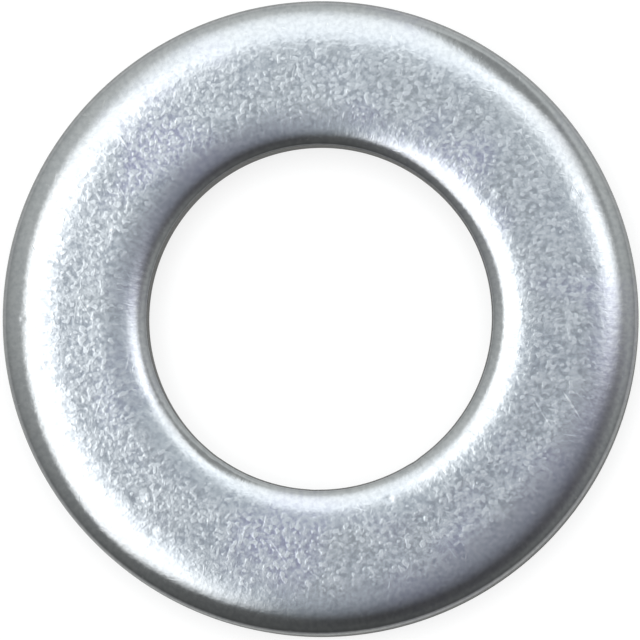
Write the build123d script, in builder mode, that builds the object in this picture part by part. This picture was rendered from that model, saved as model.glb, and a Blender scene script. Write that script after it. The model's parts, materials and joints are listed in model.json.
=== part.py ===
from build123d import *

import os

# Plain flat washer for an M12 bolt, blanked and pierced from 2.5 mm steel strip.
#
# The whole object is this one ring: it has no second piece and nothing on it moves.
# Blank and hole are cut in one stroke of a compound die, so both edges of the upper
# face are drawn down in a smooth roll. Below each roll the cut wall has two zones: a
# straight land, burnished by the tool, and a fracture zone that leans away from it.
# Tumbling has rounded the two cut edges of the underside.
#
# Frame, in millimetres: +Z runs up the axis of the hole, and the origin is the centre
# of the underside, so the ring stands on the plane Z = 0.

# Nominal sizes of the plain washer for M12
bore_diameter = 13.0
rim_diameter = 24.0
thickness = 2.5

# Edge rolls of the upper face: how far each reaches across the face, and how far down
bore_roll_width = 1.88
bore_roll_depth = 0.42
rim_roll_width = 2.3
rim_roll_depth = 0.52

# Cut walls: height of each burnished land, and how far each fracture zone leans
bore_land_height = 1.0
bore_fracture_lean = 0.09
rim_land_height = 0.9
rim_fracture_lean = 0.04

# Radius that tumbling leaves on the two edges of the underside
tumbled_radius = 0.12

bore_radius = bore_diameter / 2
rim_radius = rim_diameter / 2

# Where the flat part of the upper face begins and ends
face_inner_radius = bore_radius + bore_roll_width
face_outer_radius = rim_radius - rim_roll_width

# Heights where each roll meets its land, and where each land breaks into fracture
bore_roll_foot = thickness - bore_roll_depth
rim_roll_foot = thickness - rim_roll_depth
bore_land_foot = bore_roll_foot - bore_land_height
rim_land_foot = rim_roll_foot - rim_land_height

# Radii of the underside's two edges, before they are rounded
under_inner_radius = bore_radius + bore_fracture_lean
under_outer_radius = rim_radius - rim_fracture_lean

with BuildPart() as washer:
    # Half section of the ring, drawn to the right of its axis
    with BuildSketch(Plane.XZ) as section:
        with BuildLine():
            # Upper face, with its two edge rolls
            Line((face_inner_radius, thickness), (face_outer_radius, thickness))
            EllipticalCenterArc(
                (face_inner_radius, bore_roll_foot),
                bore_roll_width,
                bore_roll_depth,
                start_angle=90,
                arc_size=90,
            )
            EllipticalCenterArc(
                (face_outer_radius, rim_roll_foot),
                rim_roll_width,
                rim_roll_depth,
                start_angle=0,
                arc_size=90,
            )
            # Wall of the hole, underside and wall of the rim
            Polyline(
                (bore_radius, bore_roll_foot),
                (bore_radius, bore_land_foot),
                (under_inner_radius, 0),
                (under_outer_radius, 0),
                (rim_radius, rim_land_foot),
                (rim_radius, rim_roll_foot),
            )
        make_face()
        fillet(section.vertices().group_by(Axis.Y)[0], tumbled_radius)
    revolve(axis=Axis.Z)

washer.part.label = "washer"

os.makedirs("parts", exist_ok=True)
export_step(washer.part, "parts/washer.step")
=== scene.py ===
"""A zinc-plated flat washer on a pale floor, seen from almost straight above.

The washer is one stamped ring. Its mesh is the CAD section swept round the axis, with
what stamping, tumbling and handling leave on it: torn cut walls, small dents and a face
that is not quite flat. Grain, scratches, roughness and tint come from shader nodes.
Everything is in metres, in the CAD frame. +X is the picture's right and +Y its top.
"""

import json
import math
import random

import bpy
from mathutils import Matrix, Vector, kdtree, noise


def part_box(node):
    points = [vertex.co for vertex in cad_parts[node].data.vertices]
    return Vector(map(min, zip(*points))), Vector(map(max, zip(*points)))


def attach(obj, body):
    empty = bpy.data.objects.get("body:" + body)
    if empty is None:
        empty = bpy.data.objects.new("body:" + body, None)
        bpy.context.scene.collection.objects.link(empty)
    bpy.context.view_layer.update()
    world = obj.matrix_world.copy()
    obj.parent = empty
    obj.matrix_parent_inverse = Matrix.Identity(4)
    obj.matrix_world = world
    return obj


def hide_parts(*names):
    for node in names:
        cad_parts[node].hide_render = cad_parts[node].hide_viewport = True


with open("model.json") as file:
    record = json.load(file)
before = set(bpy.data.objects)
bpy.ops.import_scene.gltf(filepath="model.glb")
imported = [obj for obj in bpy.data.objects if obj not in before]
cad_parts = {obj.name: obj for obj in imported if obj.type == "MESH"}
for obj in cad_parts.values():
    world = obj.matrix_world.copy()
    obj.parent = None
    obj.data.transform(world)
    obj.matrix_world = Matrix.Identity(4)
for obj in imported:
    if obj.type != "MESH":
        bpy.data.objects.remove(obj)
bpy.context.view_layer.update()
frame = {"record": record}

MM = 0.001

# ---------------------------------------------------------------------------
# The ring's section, as in the CAD model
# ---------------------------------------------------------------------------

mounts = {mount["name"]: mount for mount in frame["record"]["mounts"]}
washer_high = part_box("washer")[1]

RIM_RADIUS = washer_high.x
THICKNESS = washer_high.z
BORE_RADIUS = mounts["bore"]["dims"]["r_mm"] * MM
MID_RADIUS = (RIM_RADIUS + BORE_RADIUS) / 2

RIM_ROLL_WIDTH = 2.3 * MM
RIM_ROLL_DEPTH = 0.52 * MM
RIM_LAND_HEIGHT = 0.9 * MM
RIM_LEAN = 0.04 * MM

BORE_ROLL_WIDTH = 1.88 * MM
BORE_ROLL_DEPTH = 0.42 * MM
BORE_LAND_HEIGHT = 1.0 * MM
BORE_LEAN = 0.09 * MM

TUMBLED_RADIUS = 0.12 * MM

# Mesh density. The ring is a closed grid of quads, under 200 000 triangles
STEPS_AROUND = 720
FACE_STEPS = 22
RIM_ROLL_STEPS = 26
BORE_ROLL_STEPS = 20
LAND_STEPS = 7
FRACTURE_STEPS = 10
EDGE_STEPS = 4
UNDERSIDE_STEPS = 24

# UV map of the mesh, its name and its margins
MAP_NAME = "OFBake"
MAP_MARGIN = 0.004

# What stamping leaves: torn fracture zones, the uneven line above them, and an upper face
# that sinks from bore to rim. The tear has a mean depth, as a share of the whole, and
# waves on it, each as (wavelength, share)
FRACTURE_TEAR = 0.045 * MM
TEAR_MEAN = 0.5
TEAR_WAVES = ((0.5 * MM, 0.35), (0.16 * MM, 0.25))
LAND_LINE_WANDER = 0.09 * MM
LAND_LINE_WAVELENGTH = 1.1 * MM
LAND_LINE_BLUR = 0.12 * MM
FACE_CUP = 0.136 * MM
CUP_FADE_HEIGHT = 0.5 * THICKNESS

# What tumbling and handling leave: shallow waves in the flat faces, and small dents
FACE_WAVE = 0.012 * MM
FACE_WAVELENGTH = 2.2 * MM
DENT_COUNT = 34
DENT_RADII = (0.12 * MM, 0.42 * MM)
DENT_DEPTHS = (0.004 * MM, 0.016 * MM)
DENT_SEED = 12

# Powers that set how far down each roll the face's sandy look holds: the lower, the further
RIM_GRAIN_HOLD = 0.7
BORE_GRAIN_HOLD = 0.5

# How far the painted shade on the bore's wall reaches up its roll
BORE_SHADE_REACH = 0.06 * MM


def straight(start, end, steps, zone):
    """Points from start up to, but not including, end, each as (radius, height, zone)."""
    points = []
    for step in range(steps):
        share = step / steps
        radius = start[0] + (end[0] - start[0]) * share
        height = start[1] + (end[1] - start[1]) * share
        points.append((radius, height, zone))
    return points


def arc(centre, reach, first, last, steps, zone):
    """Points along an upright ellipse, up to but not including the last angle, in degrees."""
    points = []
    for step in range(steps):
        angle = math.radians(first + (last - first) * step / steps)
        radius = centre[0] + reach[0] * math.cos(angle)
        height = centre[1] + reach[1] * math.sin(angle)
        points.append((radius, height, zone))
    return points


def ring_section():
    """The closed outline of the ring's section, outwards over the upper face first."""
    face_inner = BORE_RADIUS + BORE_ROLL_WIDTH
    face_outer = RIM_RADIUS - RIM_ROLL_WIDTH
    rim_foot = THICKNESS - RIM_ROLL_DEPTH
    bore_foot = THICKNESS - BORE_ROLL_DEPTH
    rim_break = rim_foot - RIM_LAND_HEIGHT
    bore_break = bore_foot - BORE_LAND_HEIGHT
    edge = TUMBLED_RADIUS
    rim_edge = RIM_RADIUS - RIM_LEAN - edge
    bore_edge = BORE_RADIUS + BORE_LEAN + edge

    rim_roll = (RIM_ROLL_WIDTH, RIM_ROLL_DEPTH)
    bore_roll = (BORE_ROLL_WIDTH, BORE_ROLL_DEPTH)

    section = straight((face_inner, THICKNESS), (face_outer, THICKNESS), FACE_STEPS, "face")
    section += arc((face_outer, rim_foot), rim_roll, 90, 0, RIM_ROLL_STEPS, "roll")
    section += straight((RIM_RADIUS, rim_foot), (RIM_RADIUS, rim_break), LAND_STEPS, "land")
    section += straight(
        (RIM_RADIUS, rim_break), (rim_edge + edge, edge), FRACTURE_STEPS, "fracture"
    )
    section += arc((rim_edge, edge), (edge, edge), 0, -90, EDGE_STEPS, "edge")
    section += straight((rim_edge, 0), (bore_edge, 0), UNDERSIDE_STEPS, "underside")
    section += arc((bore_edge, edge), (edge, edge), -90, -180, EDGE_STEPS, "edge")
    section += straight(
        (bore_edge - edge, edge), (BORE_RADIUS, bore_break), FRACTURE_STEPS, "fracture"
    )
    section += straight((BORE_RADIUS, bore_break), (BORE_RADIUS, bore_foot), LAND_STEPS, "land")
    section += arc((face_inner, bore_foot), bore_roll, 180, 90, BORE_ROLL_STEPS, "roll")
    return section


def inward_normals(section):
    """For each point of the section, the unit (radius, height) direction into the metal."""
    normals = []
    for index in range(len(section)):
        before = section[index - 1]
        after = section[(index + 1) % len(section)]
        run = after[0] - before[0]
        rise = after[1] - before[1]
        length = math.hypot(run, rise)
        normals.append((rise / length, -run / length))
    return normals


def on_ring(angle, radius, height):
    """The place on the ring at that angle round its axis."""
    return Vector((radius * math.cos(angle), radius * math.sin(angle), height))


def cup_drop(radius, height):
    """How far the upper face has sunk: more towards the rim, and fading low on the walls."""
    across = (radius - BORE_RADIUS) / (RIM_RADIUS - BORE_RADIUS)
    return FACE_CUP * across * min(1.0, height / CUP_FADE_HEIGHT)


def wear_depth(place, zone, flatness):
    """How far the plain section is worn or torn away at a place, in metres."""
    if zone == "fracture":
        depth = TEAR_MEAN
        for wavelength, share in TEAR_WAVES:
            depth += share * noise.noise(place / wavelength)
        return FRACTURE_TEAR * depth
    if zone == "edge":
        flatness = 1 - place.z / TUMBLED_RADIUS
    return FACE_WAVE * flatness * (0.5 + 0.5 * noise.noise(place / FACE_WAVELENGTH))


def flat_share(radius, zone):
    """1 on the two faces, falling over each roll to 0 at its foot, and 0 on the walls."""
    if zone in ("face", "underside"):
        return 1.0
    if zone != "roll":
        return 0.0
    if radius > MID_RADIUS:
        return ((RIM_RADIUS - radius) / RIM_ROLL_WIDTH) ** RIM_GRAIN_HOLD
    return ((radius - BORE_RADIUS) / BORE_ROLL_WIDTH) ** BORE_GRAIN_HOLD


def fracture_share(angle, radius, height):
    """1 below the wandering line where the cut wall breaks away, 0 above it."""
    if radius > MID_RADIUS:
        line = THICKNESS - RIM_ROLL_DEPTH - RIM_LAND_HEIGHT
    else:
        line = THICKNESS - BORE_ROLL_DEPTH - BORE_LAND_HEIGHT
    wander = noise.noise(on_ring(angle, radius, 0) / LAND_LINE_WAVELENGTH)
    line += LAND_LINE_WANDER * wander
    return min(1.0, max(0.0, (line - height) / LAND_LINE_BLUR + 0.5))


def bore_shade_share(radius, zone):
    """1 on the walls of the bore, whose colour is darkened there as painted shade, 0 outside it.
    """
    if radius > MID_RADIUS or zone in ("face", "underside"):
        return 0.0
    if zone == "roll":
        return min(1.0, max(0.0, 1 - (radius - BORE_RADIUS) / BORE_SHADE_REACH))
    return 1.0


def build_washer():
    """Sweeps the section round the axis, with its wear, and returns the ring as a new object."""
    section = ring_section()
    normals = inward_normals(section)
    rows = len(section)
    vertices = []
    flat = []
    fracture = []
    bore_shade = []
    for step in range(STEPS_AROUND):
        angle = 2 * math.pi * step / STEPS_AROUND
        for (radius, height, zone), normal in zip(section, normals):
            flatness = flat_share(radius, zone)
            depth = wear_depth(on_ring(angle, radius, height), zone, flatness)
            worn_height = height + normal[1] * depth - cup_drop(radius, height)
            vertices.append(on_ring(angle, radius + normal[0] * depth, worn_height))
            walled = zone in ("land", "fracture", "edge")
            flat.append(flatness)
            fracture.append(fracture_share(angle, radius, height) if walled else 0.0)
            bore_shade.append(bore_shade_share(radius, zone))
    faces = []
    for step in range(STEPS_AROUND):
        here = step * rows
        following = (step + 1) % STEPS_AROUND * rows
        for row in range(rows):
            above = (row + 1) % rows
            faces.append((here + row, here + above, following + above, following + row))
    mesh = bpy.data.meshes.new("plated_washer")
    mesh.from_pydata(vertices, [], faces)
    mesh.shade_smooth()
    for name, values in (("flat", flat), ("fracture", fracture), ("bore_shade", bore_shade)):
        mesh.attributes.new(name, "FLOAT", "POINT").data.foreach_set("value", values)
    washer = bpy.data.objects.new("plated_washer", mesh)
    bpy.context.scene.collection.objects.link(washer)
    return washer


def unroll(mesh, section):
    """Adds a UV map: the ring unrolled into two strips of half a turn, one above the other."""
    reach = [0.0]
    for index, point in enumerate(section):
        following = section[(index + 1) % len(section)]
        reach.append(reach[-1] + math.dist(point[:2], following[:2]))
    half = STEPS_AROUND // 2
    scale = 1 - 2 * MAP_MARGIN
    corners = []
    for step in range(STEPS_AROUND):
        strip, column = divmod(step, half)
        left = MAP_MARGIN + scale * column / half
        right = MAP_MARGIN + scale * (column + 1) / half
        for row in range(len(section)):
            low = (strip + MAP_MARGIN + scale * reach[row] / reach[-1]) / 2
            high = (strip + MAP_MARGIN + scale * reach[row + 1] / reach[-1]) / 2
            corners += (left, low, left, high, right, high, right, low)
    mesh.uv_layers.new(name=MAP_NAME).data.foreach_set("uv", corners)


def dent(mesh):
    """Presses small seeded dents into the ring, each pushed in along the surface's own normal."""
    chance = random.Random(DENT_SEED)
    tree = kdtree.KDTree(len(mesh.vertices))
    for vertex in mesh.vertices:
        tree.insert(vertex.co, vertex.index)
    tree.balance()
    for _ in range(DENT_COUNT):
        centre = mesh.vertices[chance.randrange(len(mesh.vertices))].co.copy()
        reach = chance.uniform(*DENT_RADII)
        depth = chance.uniform(*DENT_DEPTHS)
        for _, index, distance in tree.find_range(centre, reach):
            vertex = mesh.vertices[index]
            vertex.co -= vertex.normal * depth * (1 - (distance / reach) ** 2) ** 2


# ---------------------------------------------------------------------------
# Shader helpers
# ---------------------------------------------------------------------------


class Shader:
    """A short way to write a node tree: each call adds one node and returns its output."""

    def __init__(self, tree):
        self.tree = tree
        tree.nodes.clear()

    def node(self, kind, **settings):
        made = self.tree.nodes.new(kind)
        for name, value in settings.items():
            setattr(made, name, value)
        return made

    def feed(self, socket, source):
        """Links source into socket, or sets the socket if source is a plain value."""
        if isinstance(source, bpy.types.NodeSocket):
            self.tree.links.new(source, socket)
        else:
            socket.default_value = source

    def math(self, operation, first, second=0.0, third=0.0):
        made = self.node("ShaderNodeMath", operation=operation)
        self.feed(made.inputs[0], first)
        self.feed(made.inputs[1], second)
        self.feed(made.inputs[2], third)
        return made.outputs[0]

    def vector(self, operation, first, second=(0, 0, 0)):
        made = self.node("ShaderNodeVectorMath", operation=operation)
        self.feed(made.inputs[0], first)
        self.feed(made.inputs[1], second)
        return made.outputs["Value" if operation == "DOT_PRODUCT" else "Vector"]

    def scaled(self, vector, factor):
        made = self.node("ShaderNodeVectorMath", operation="SCALE")
        self.feed(made.inputs[0], vector)
        self.feed(made.inputs["Scale"], factor)
        return made.outputs[0]

    def step(self, value, low, high, to_low=0.0, to_high=1.0):
        """A smooth step from to_low at low to to_high at high."""
        made = self.node("ShaderNodeMapRange", interpolation_type="SMOOTHSTEP")
        for socket, source in zip(made.inputs, (value, low, high, to_low, to_high)):
            self.feed(socket, source)
        return made.outputs[0]

    def noise(self, vector, scale, detail=2):
        """Perlin noise, from 0 to 1. More detail adds finer waves."""
        made = self.node("ShaderNodeTexNoise")
        self.feed(made.inputs["Vector"], vector)
        made.inputs["Scale"].default_value = scale
        made.inputs["Detail"].default_value = detail
        return made.outputs["Fac"]

    def attribute(self, name):
        """One of the values that the mesh stores at its points."""
        return self.node("ShaderNodeAttribute", attribute_name=name).outputs["Fac"]

    def mix_value(self, share, first, second):
        made = self.node("ShaderNodeMix", data_type="FLOAT")
        self.feed(made.inputs["Factor"], share)
        self.feed(made.inputs["A"], first)
        self.feed(made.inputs["B"], second)
        return made.outputs["Result"]

    def mix(self, share, first, second):
        made = self.node("ShaderNodeMix", data_type="RGBA")
        self.feed(made.inputs["Factor"], share)
        self.feed(made.inputs["A"], first)
        self.feed(made.inputs["B"], second)
        return made.outputs["Result"]


# ---------------------------------------------------------------------------
# Zinc plate
# ---------------------------------------------------------------------------

ZINC_BRIGHT = (0.91, 0.92, 0.935, 1)
ZINC_GREY = (0.50, 0.52, 0.542, 1)
ZINC_BLUE = (0.48, 0.508, 0.55, 1)
ZINC_VIOLET = (0.47, 0.455, 0.625, 1)
DULL_GREY = (0.42, 0.42, 0.41, 1)
# The darker grey of the bore's walls is painted shade
BORE_SHADE_GREY = (0.33, 0.328, 0.32, 1)

# Noise patterns, as scales per millimetre, and the offsets that keep two of them apart
GRAIN_SCALE = 5.2
SPARKLE_SCALE = 6
SPARKLE_OFFSET = (5, 11, 2)
CLOUD_SCALE = 0.45
PATCH_SCALE = 0.28
PATCH_OFFSET = (31, 7, 3)
TORN_SCALE = 5

# Streaks drawn across the ring: their scale, how narrow they are and how short they are,
# and how ragged they leave the line where the sandy face ends
STREAK_SCALE = 4.5
STREAK_NARROWNESS = 9
STREAK_SHORTNESS = 0.22
STREAK_RAGGEDNESS = 0.9

# Short ticks in two directions, and long scores, which are rarer. Each is its turn in
# degrees, length over width, scale and the noise level where it starts. It is at its
# strongest at SCRATCH_FULL
TICKS = ((12, 6, 8, 0.68), (101, 6, 8, 0.68))
SCORES = (58, 30, 6, 0.74)
SCRATCH_FULL = 0.8

# Noise levels, from and to, over which each pattern comes in
GRAIN_STEP = (0.27, 0.70)
GLINT_STEP = (0.54, 0.70)
CLOUD_STEP = (0.35, 0.65)
PATCH_STEP = (0.5, 0.72)

# Flatness, from 0 at a roll's foot to 1 on the face, over which each look of the face
# comes in. The first two also say how strong it is at both ends. Gloss goes by the matt
# look in the same way
MATT_STEP = (0.6, 1.0, 0.3, 1.0)
SAND_STEP = (0.45, 1.0, 0.3, 1.0)
STREAK_STEP = (0.0, 0.3)
SCATTER_STEP = (0.25, 0.9)
GLOSS_STEP = (0.4, 1.0)

# Relief of each pattern, in millimetres
GRAIN_RELIEF = 0.006
GLINT_RELIEF = 0.0025
TICK_RELIEF = 0.002
SCORE_RELIEF = 0.003
ROLL_STREAK_RELIEF = 0.006
FACE_STREAK_RELIEF = 0.0025
TORN_RELIEF = 0.05

# How bright the rolls and the brightest grains are, and how strong each tint is
ROLL_BRIGHTNESS = 0.8
GRAIN_BRIGHTNESS = 0.85
VIOLET_SHARE = 0.7
TORN_DULLNESS = 0.55
# How far the bore's walls are darkened, as painted shade
BORE_SHADE_STRENGTH = 0.95

# The sandy face scatters part of the light, as its crystals stand every way
FACE_METALLIC = 0.84
ROLL_ROUGHNESS = 0.095
FACE_ROUGHNESS = 0.17
TORN_ROUGHNESS = 0.2


def scratches(shader, position, kind):
    """Scratches along one direction, as a mask: noise stretched one way, only its peaks kept."""
    turn, length, scale, start = kind
    turned = shader.node("ShaderNodeVectorRotate", rotation_type="Z_AXIS")
    shader.feed(turned.inputs["Vector"], position)
    turned.inputs["Angle"].default_value = math.radians(turn)
    stretched = shader.vector("MULTIPLY", turned.outputs[0], (1 / length, 1, 1))
    return shader.step(shader.noise(stretched, scale, detail=1), start, SCRATCH_FULL)


def drawn_streaks(shader, position):
    """Streaks from bore to rim, where the metal stretched over the rolls."""
    level = shader.vector("MULTIPLY", position, (1, 1, 0))
    out = shader.vector("NORMALIZE", level)
    reach = shader.vector("DOT_PRODUCT", level, out)
    stretched = shader.node("ShaderNodeCombineXYZ")
    shader.feed(stretched.inputs["Z"], shader.math("MULTIPLY", reach, STREAK_SHORTNESS))
    place = shader.vector("ADD", shader.scaled(out, STREAK_NARROWNESS), stretched.outputs[0])
    return shader.noise(place, STREAK_SCALE)


def zinc_plate():
    """Bright zinc on tumbled steel: sandy faces, streaked rolls, dull torn walls, painted shade
    in the bore.
    """
    material = bpy.data.materials.new("zinc_plate")
    material.use_nodes = True
    shader = Shader(material.node_tree)
    coordinates = shader.node("ShaderNodeTexCoord")
    position = shader.scaled(coordinates.outputs["Object"], 1 / MM)
    flat = shader.attribute("flat")
    torn = shader.attribute("fracture")
    bore_shade = shader.attribute("bore_shade")

    # Patterns. The sandy face ends in a ragged line, where the streaks of the rolls begin
    grain = shader.noise(position, GRAIN_SCALE, detail=1)
    sparkle_place = shader.vector("ADD", position, SPARKLE_OFFSET)
    sparkle = shader.noise(sparkle_place, SPARKLE_SCALE, detail=0)
    cloud = shader.noise(position, CLOUD_SCALE)
    patch = shader.noise(shader.vector("ADD", position, PATCH_OFFSET), PATCH_SCALE, detail=1)
    streaks = drawn_streaks(shader, position)
    swing = shader.math("SUBTRACT", streaks, 0.5)
    ragged = shader.math("MULTIPLY_ADD", swing, STREAK_RAGGEDNESS, flat)
    matt = shader.step(ragged, *MATT_STEP)
    glint = shader.math("MULTIPLY", shader.step(sparkle, *GLINT_STEP), matt)
    ticks = 0.0
    for kind in TICKS:
        ticks = shader.math("MAXIMUM", ticks, scratches(shader, position, kind))
    scores = scratches(shader, position, SCORES)

    # Relief
    sand = shader.math("MULTIPLY", grain, GRAIN_RELIEF)
    sand = shader.math("MULTIPLY_ADD", glint, GLINT_RELIEF, sand)
    sand = shader.math("MULTIPLY_ADD", ticks, TICK_RELIEF, sand)
    sand = shader.math("MULTIPLY_ADD", scores, SCORE_RELIEF, sand)
    sandy = shader.step(flat, *SAND_STEP)
    streak_relief = shader.step(flat, *STREAK_STEP, ROLL_STREAK_RELIEF, FACE_STREAK_RELIEF)
    drawn = shader.math("MULTIPLY", streaks, streak_relief)
    tears = shader.math("MULTIPLY", shader.noise(position, TORN_SCALE, detail=3), torn)
    tears = shader.math("MULTIPLY", tears, TORN_RELIEF)
    height = shader.math("MULTIPLY_ADD", sand, sandy, drawn)
    height = shader.math("ADD", height, tears)
    bump = shader.node("ShaderNodeBump")
    bump.inputs["Distance"].default_value = MM
    shader.feed(bump.inputs["Height"], height)

    # Colour
    colour = shader.mix(shader.step(cloud, *CLOUD_STEP), ZINC_BLUE, ZINC_GREY)
    colour = shader.mix(shader.step(patch, *PATCH_STEP, 0.0, VIOLET_SHARE), colour, ZINC_VIOLET)
    crystals = shader.step(grain, *GRAIN_STEP, 0.0, GRAIN_BRIGHTNESS)
    bright = shader.mix_value(matt, ROLL_BRIGHTNESS, crystals)
    # The glints are painted into the colour as well, as painted highlights in bright specks
    bright = shader.math("MAXIMUM", bright, shader.math("MAXIMUM", glint, ticks))
    colour = shader.mix(bright, colour, ZINC_BRIGHT)
    colour = shader.mix(shader.math("MULTIPLY", torn, TORN_DULLNESS), colour, DULL_GREY)
    # Painted shade: the walls of the bore are darkened
    colour = shader.mix(shader.math("MULTIPLY", bore_shade, BORE_SHADE_STRENGTH), colour, BORE_SHADE_GREY)

    # Gloss
    smooth = shader.step(matt, *GLOSS_STEP, ROLL_ROUGHNESS, FACE_ROUGHNESS)
    roughness = shader.math("MULTIPLY_ADD", torn, TORN_ROUGHNESS, smooth)
    metallic = shader.step(flat, *SCATTER_STEP, 1.0, FACE_METALLIC)

    metal = shader.node("ShaderNodeBsdfPrincipled")
    shader.feed(metal.inputs["Base Color"], colour)
    shader.feed(metal.inputs["Metallic"], metallic)
    shader.feed(metal.inputs["Roughness"], roughness)
    shader.feed(metal.inputs["Normal"], bump.outputs[0])
    output = shader.node("ShaderNodeOutputMaterial")
    shader.feed(output.inputs["Surface"], metal.outputs[0])
    return material


# ---------------------------------------------------------------------------
# Studio
# ---------------------------------------------------------------------------

# Soft boxes and dark cards, drawn on a flat ceiling one unit above the washer: x runs to
# the picture's right and y to its top. Each is (x from, x to, y from, y to), the softness
# of those four edges, its colour and its strength. A card takes that share of the light.
#
# A least-squares fit of a simple reflection model to the photo's shading gave most of these
# places, edges and strengths, most of the ceiling's and walls' values below, FACE_CUP and
# the widths and depths of the two rolls. Many were then changed against renders, as the
# tints were, and all are rounded.
SOFT_BOXES = {
    "key": (
        (-0.54, -0.17, -0.38, 0.32),
        (0.08, 0.08, 0.11, 0.16),
        (0.98, 1.0, 1.0),
        1.15,
    ),
    "right": (
        (0.24, 0.45, 0.05, 0.50),
        (0.13, 0.16, 0.20, 0.07),
        (0.97, 1.0, 1.02),
        1.5,
    ),
    "back": (
        (-0.41, 0.23, 0.30, 0.81),
        (0.20, 0.06, 0.09, 0.30),
        (0.93, 0.99, 1.05),
        0.56,
    ),
}
DARK_CARDS = {
    "right": (
        (-0.05, 0.65, -0.68, 0.05),
        (0.15, 0.30, 0.40, 0.15),
        (0.99, 1.03, 0.93),
        0.57,
    ),
    "back": (
        (0.26, 0.64, 0.24, 1.10),
        (0.12, 0.12, 0.12, 0.12),
        (1, 1, 1),
        0.5,
    ),
}

# The ceiling's own light, and the distances on it over which the walls take its place
ZENITH = (0.39, 0.45, 0.50)
ZENITH_EDGE = (0.15, 0.59)

# A direction is taken to rise at least this much where it meets the ceiling
LOWEST_RISE = 0.02

# The walls are dark on one side. ROOM_FADE is the step from light to dark, over the cosine
# of the angle from that side. Its ends lie past 1, so no wall is wholly light or dark
ROOM_LIGHT = (0.66, 0.69, 0.68)
ROOM_DARK = (0.02, 0.02, 0.02)
ROOM_DARKEST_SIDE = math.radians(269)
ROOM_FADE = (-1.74, 1.64)

# Towards the horizon the walls fade and a faint glow comes in. Each is (rise from, rise
# to, value at the first, value at the second)
HORIZON_FADE = (0.0, 0.8, 0.42, 1.0)
HORIZON_GLOW = (0.16, 0.44, 0.2, 0.0)

# What the camera itself sees past the floor
PAPER_WHITE = (0.97, 0.97, 0.97, 1)


def ceiling_patch(shader, x, y, patch):
    """The colour and strength of one box or card at ceiling point x, y, and black outside it."""
    (x_from, x_to, y_from, y_to), edges, colour, strength = patch
    sides = (
        shader.step(x, x_from - edges[0], x_from + edges[0]),
        shader.step(x, x_to + edges[1], x_to - edges[1]),
        shader.step(y, y_from - edges[2], y_from + edges[2]),
        shader.step(y, y_to + edges[3], y_to - edges[3]),
    )
    inside = strength
    for side in sides:
        inside = shader.math("MULTIPLY", side, inside)
    return shader.vector("MULTIPLY", colour, inside)


def wall_light(shader, direction, rise):
    """The light of the room's walls, from a direction that rises by that much."""
    level = shader.vector("NORMALIZE", shader.vector("MULTIPLY", direction, (1, 1, 0)))
    dark_side = (math.cos(ROOM_DARKEST_SIDE), math.sin(ROOM_DARKEST_SIDE), 0)
    towards_dark = shader.vector("DOT_PRODUCT", level, dark_side)
    shade = shader.step(towards_dark, *ROOM_FADE)
    walls = shader.mix(shade, (*ROOM_LIGHT, 1), (*ROOM_DARK, 1))
    walls = shader.scaled(walls, shader.step(rise, *HORIZON_FADE))
    return shader.vector("ADD", walls, shader.step(rise, *HORIZON_GLOW))


def studio_world():
    """Soft boxes overhead in a grey room. The camera itself sees only plain white."""
    world = bpy.data.worlds.new("studio")
    world.use_nodes = True
    shader = Shader(world.node_tree)
    direction = shader.node("ShaderNodeTexCoord").outputs["Generated"]
    parts = shader.node("ShaderNodeSeparateXYZ")
    shader.feed(parts.inputs[0], direction)
    rise = parts.outputs["Z"]
    ceiling_rise = shader.math("MAXIMUM", rise, LOWEST_RISE)
    x = shader.math("DIVIDE", parts.outputs["X"], ceiling_rise)
    y = shader.math("DIVIDE", parts.outputs["Y"], ceiling_rise)
    slant = shader.math("SQRT", shader.math("MULTIPLY_ADD", x, x, shader.math("MULTIPLY", y, y)))

    walls = wall_light(shader, direction, rise)
    light = shader.mix(shader.step(slant, *ZENITH_EDGE), (*ZENITH, 1), walls)
    for box in SOFT_BOXES.values():
        light = shader.vector("ADD", light, ceiling_patch(shader, x, y, box))
    for card in DARK_CARDS.values():
        left = shader.vector("SUBTRACT", (1, 1, 1), ceiling_patch(shader, x, y, card))
        light = shader.vector("MULTIPLY", light, left)

    seen = shader.node("ShaderNodeLightPath").outputs["Is Camera Ray"]
    background = shader.node("ShaderNodeBackground")
    shader.feed(background.inputs["Color"], shader.mix(seen, light, PAPER_WHITE))
    output = shader.node("ShaderNodeOutputWorld")
    shader.feed(output.inputs["Surface"], background.outputs[0])
    bpy.context.scene.world = world


# The floor is pale paper. To the camera it also glows, so that it looks white and its
# shadows stay faint. Reflections see only the lit paper, as plain grey.
FLOOR_REACH = 1.2
FLOOR_PAPER = (0.30, 0.30, 0.30, 1)
FLOOR_GREY = (0.30, 0.30, 0.29, 1)
FLOOR_GLOW = 0.72
OVERHEAD_STRENGTH = 2.6
OVERHEAD_SPREAD = math.radians(75)


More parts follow.
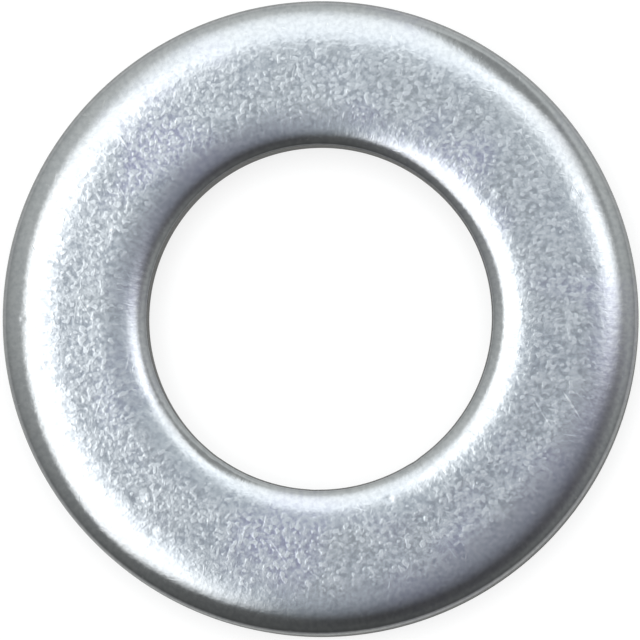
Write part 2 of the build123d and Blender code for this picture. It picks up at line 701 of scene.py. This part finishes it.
def studio_floor():
    """A plain square floor at the height of the washer's underside."""
    mesh = bpy.data.meshes.new("floor")
    far = FLOOR_REACH
    corners = [(-far, -far, 0), (far, -far, 0), (far, far, 0), (-far, far, 0)]
    mesh.from_pydata(corners, [], [(0, 1, 2, 3)])
    floor = bpy.data.objects.new("floor", mesh)
    bpy.context.scene.collection.objects.link(floor)
    material = bpy.data.materials.new("white_sweep")
    material.use_nodes = True
    shader = Shader(material.node_tree)
    seen = shader.node("ShaderNodeLightPath").outputs["Is Camera Ray"]
    paper = shader.node("ShaderNodeBsdfDiffuse")
    shader.feed(paper.inputs["Color"], shader.mix(seen, FLOOR_GREY, FLOOR_PAPER))
    glow = shader.node("ShaderNodeEmission")
    shader.feed(glow.inputs["Strength"], shader.math("MULTIPLY", seen, FLOOR_GLOW))
    both = shader.node("ShaderNodeAddShader")
    shader.feed(both.inputs[0], paper.outputs[0])
    shader.feed(both.inputs[1], glow.outputs[0])
    output = shader.node("ShaderNodeOutputMaterial")
    shader.feed(output.inputs["Surface"], both.outputs[0])
    mesh.materials.append(material)


def overhead_light():
    """A broad overhead light for the floor and the plate's scatter, left out of reflections."""
    lamp = bpy.data.lights.new("overhead", "SUN")
    lamp.energy = OVERHEAD_STRENGTH
    lamp.angle = OVERHEAD_SPREAD
    light = bpy.data.objects.new("overhead", lamp)
    light.visible_glossy = False
    bpy.context.scene.collection.objects.link(light)


# The camera looks down at the ring, leaning a little to the picture's lower right
CAMERA_DISTANCE = 0.6
CAMERA_LEAN = math.radians(5.2)
CAMERA_SIDE = math.radians(307)
CAMERA_AIM = Vector((-0.02 * MM, -0.046 * MM, 0.58 * THICKNESS))
CAMERA_CLIP = (0.01, 10)
PICTURE_WIDTH = 24.16 * MM


def studio_camera():
    """The camera, at the picture's viewing angle and framing."""
    camera = bpy.data.cameras.new("camera")
    camera.lens = camera.sensor_width * CAMERA_DISTANCE / PICTURE_WIDTH
    camera.clip_start, camera.clip_end = CAMERA_CLIP
    back = Vector((
        math.sin(CAMERA_LEAN) * math.cos(CAMERA_SIDE),
        math.sin(CAMERA_LEAN) * math.sin(CAMERA_SIDE),
        math.cos(CAMERA_LEAN),
    ))
    right = Vector((0, 1, 0)).cross(back).normalized()
    up = back.cross(right)
    turn = Matrix((right, up, back)).transposed().to_4x4()
    viewer = bpy.data.objects.new("camera", camera)
    viewer.matrix_world = Matrix.Translation(CAMERA_AIM + back * CAMERA_DISTANCE) @ turn
    bpy.context.scene.collection.objects.link(viewer)
    bpy.context.scene.camera = viewer
    bpy.context.scene.view_settings.view_transform = "Standard"


# ---------------------------------------------------------------------------
# Put together
# ---------------------------------------------------------------------------

plated_washer = build_washer()
unroll(plated_washer.data, ring_section())
dent(plated_washer.data)
plated_washer.data.materials.append(zinc_plate())
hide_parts("washer")
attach(plated_washer, "root")

studio_world()
studio_floor()
overhead_light()
studio_camera()
